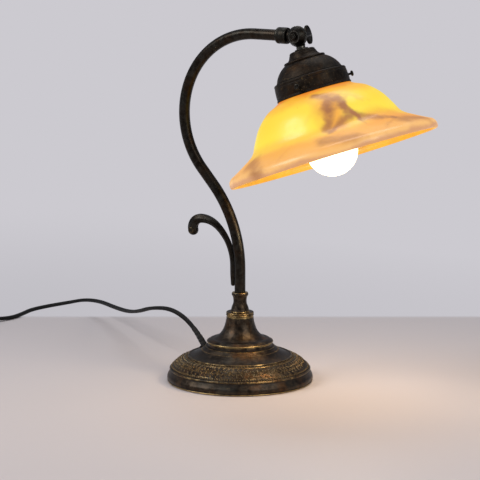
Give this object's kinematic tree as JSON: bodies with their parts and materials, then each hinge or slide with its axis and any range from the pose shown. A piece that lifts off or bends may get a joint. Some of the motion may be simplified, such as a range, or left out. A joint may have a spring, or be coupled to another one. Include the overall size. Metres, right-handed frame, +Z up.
{
  "type": "table lamp",
  "caption": "Desk lamp with a weighted round embossed base, bent tube arm with scroll, tilting knuckle, metal gallery, bell glass shade, bulb and flat cord.",
  "frame": {"origin": "centre of the underside of the base", "axes": "+Z up, +X the way the arm reaches, the knuckle turns about Y"},
  "size_m": [0.7643, 0.3535, 0.4274],
  "materials": {
    "patina_brass": "antiqued brass, dark patina worn back to gold on the edges",
    "bronze_tube": "dark bronze lacquer, satin",
    "dark_bronze": "blackened brass",
    "brass": "plain brass",
    "cast_iron": "rough casting",
    "steel": "zinc plated",
    "felt": "dark green felt",
    "fibre": "red vulcanised fibre",
    "shade_glass": "amber opal glass with brown veins, glossy",
    "bulb_glass": "opal white, frosted",
    "bulb_cap": "bright rolled thread",
    "ceramic": "unglazed porcelain",
    "black_plastic": "satin moulded",
    "black_rubber": "matt",
    "cord_black": "flexible PVC, satin",
    "plug_nickel": "nickel plated"
  },
  "bodies": {
    "stand": {"arm_ferrule": "bronze_tube", "arm_tube": "bronze_tube", "base_nut": "steel", "base_plate": "steel", "base_shell": "patina_brass", "base_weight": "cast_iron", "bead_ring": "patina_brass", "coil_tie": "black_plastic", "column_bell": "patina_brass", "cord_arch": "cord_black", "cord_clamp": "steel", "cord_coil": "cord_black", "cord_grommet": "black_rubber", "cord_lead_in": "cord_black", "cord_lead_out": "cord_black", "felt_pad": "felt", "friction_washer": "fibre", "inner_lead": "cord_black", "knuckle_bolt": "dark_bronze", "knuckle_fixed": "dark_bronze", "lock_washer": "steel", "plug_body": "black_plastic", "plug_pins": "plug_nickel", "rocker_pin": "steel", "scroll": "bronze_tube", "switch_lower": "black_plastic", "switch_screws": "steel", "switch_upper": "black_plastic", "threaded_rod": "steel", "vase_collar": "patina_brass"},
    "head": {"knuckle_swivel": "dark_bronze", "neck_ring": "dark_bronze", "shade_cap": "patina_brass", "gallery": "patina_brass", "gallery_nut": "steel", "glass_shade": "shade_glass", "holder_cap": "brass", "holder_nut": "steel", "holder_skirt": "brass", "contact_block": "ceramic", "terminal_screws": "brass", "thread_liner": "brass", "centre_contact": "brass"},
    "bulb": {"bulb_glass": "bulb_glass", "bulb_cap": "bulb_cap", "bulb_insulator": "black_plastic", "bulb_contact": "bulb_cap"},
    "wing_nut": {"wing_nut": "dark_bronze", "spring_washer": "steel"},
    "rocker": {"switch_rocker": "black_plastic"},
    "thumbscrew_1": {"thumbscrew_1": "dark_bronze"},
    "thumbscrew_2": {"thumbscrew_2": "dark_bronze"},
    "thumbscrew_3": {"thumbscrew_3": "dark_bronze"}
  },
  "joints": [
    {"name": "shade_tilt", "type": "hinge", "parent": "stand", "child": "head", "pos_m": [0.078, 0, 0.41577], "axis": [0, -1, 0], "range_deg": [-20, 60]},
    {"name": "wing_nut_turn", "type": "hinge", "parent": "stand", "child": "wing_nut", "pos_m": [0.078, 0, 0.41577], "axis": [0, 1, 0], "continuous": true},
    {"name": "thumbscrew_1_back_off", "type": "slide", "parent": "head", "child": "thumbscrew_1", "axis": [0.1632, -0.9848, 0.0594], "range_m": [0, 0.003]},
    {"name": "thumbscrew_2_back_off", "type": "slide", "parent": "head", "child": "thumbscrew_2", "axis": [0.7198, 0.6428, 0.262], "range_m": [0, 0.003]},
    {"name": "thumbscrew_3_back_off", "type": "slide", "parent": "head", "child": "thumbscrew_3", "axis": [-0.883, 0.342, -0.3214], "range_m": [0, 0.003]},
    {"name": "bulb_unscrew", "type": "slide", "parent": "head", "child": "bulb", "axis": [0.342, 0, -0.9397], "range_m": [0, 0.024]},
    {"name": "switch_rock", "type": "hinge", "parent": "stand", "child": "rocker", "pos_m": [-0.4738, 0.0711, 0.0136], "axis": [0.829, -0.5592, 0], "range_deg": [0, 16]}
  ]
}
